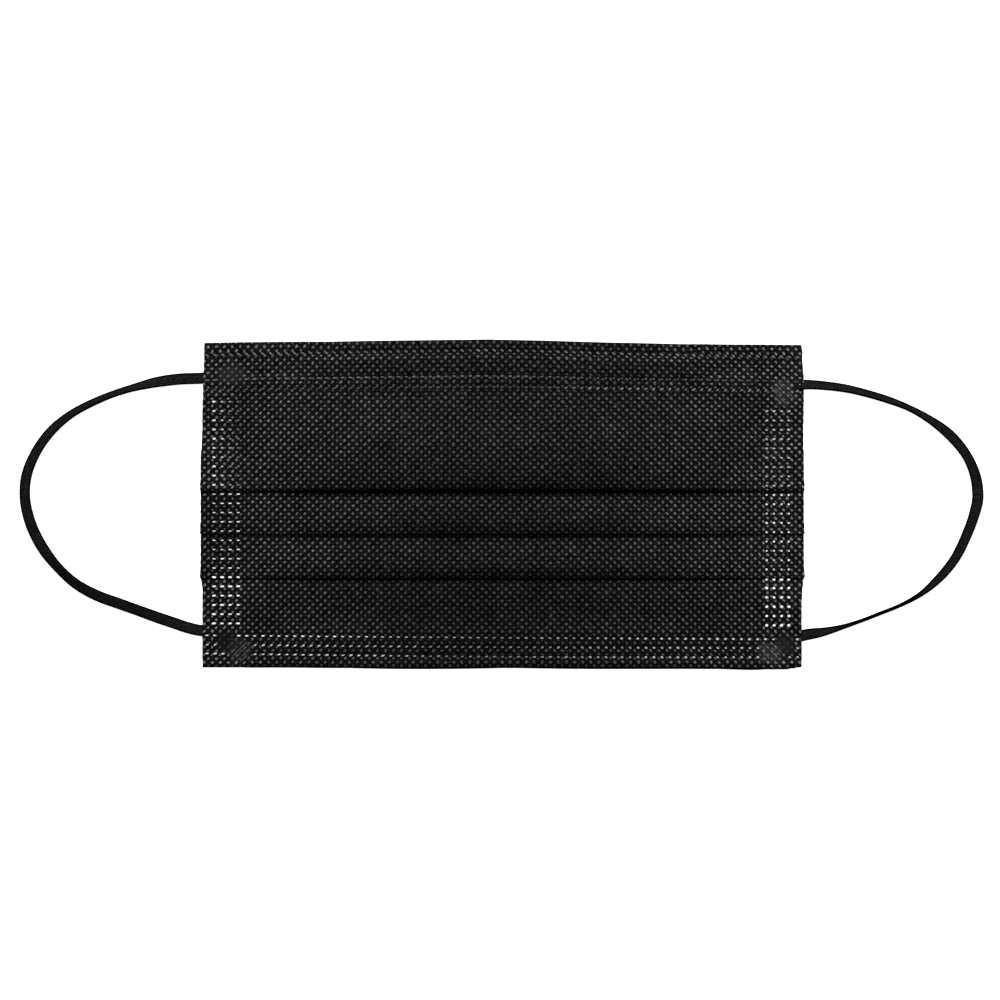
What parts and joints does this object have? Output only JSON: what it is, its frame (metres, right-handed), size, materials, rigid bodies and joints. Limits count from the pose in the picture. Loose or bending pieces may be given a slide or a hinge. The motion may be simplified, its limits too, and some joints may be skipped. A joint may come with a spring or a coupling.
{
  "type": "disposable face mask",
  "caption": "Rectangular pleated three-ply disposable face mask, lying flat, with a stiffened nose edge, welded side edges and flat elastic ear loops.",
  "frame": {"origin": "under the middle of the panel's rectangle, on the surface that the mask lies on", "axes": "+X along the panel's width, to the right as the front is seen, +Y towards the nose edge, +Z out of the front"},
  "size_m": [0.2813, 0.0956, 0.0047],
  "materials": {
    "nonwoven": "black point-bonded nonwoven, matt with a faint sheen on the bonded points",
    "knitted_elastic": "black knitted flat elastic, matt",
    "coated_wire": "plastic-coated steel strip, satin"
  },
  "bodies": {
    "root": {"pleated_panel": "nonwoven", "nose_wire": "coated_wire", "ear_loop_left": "knitted_elastic", "ear_loop_right": "knitted_elastic"}
  },
  "joints": []
}
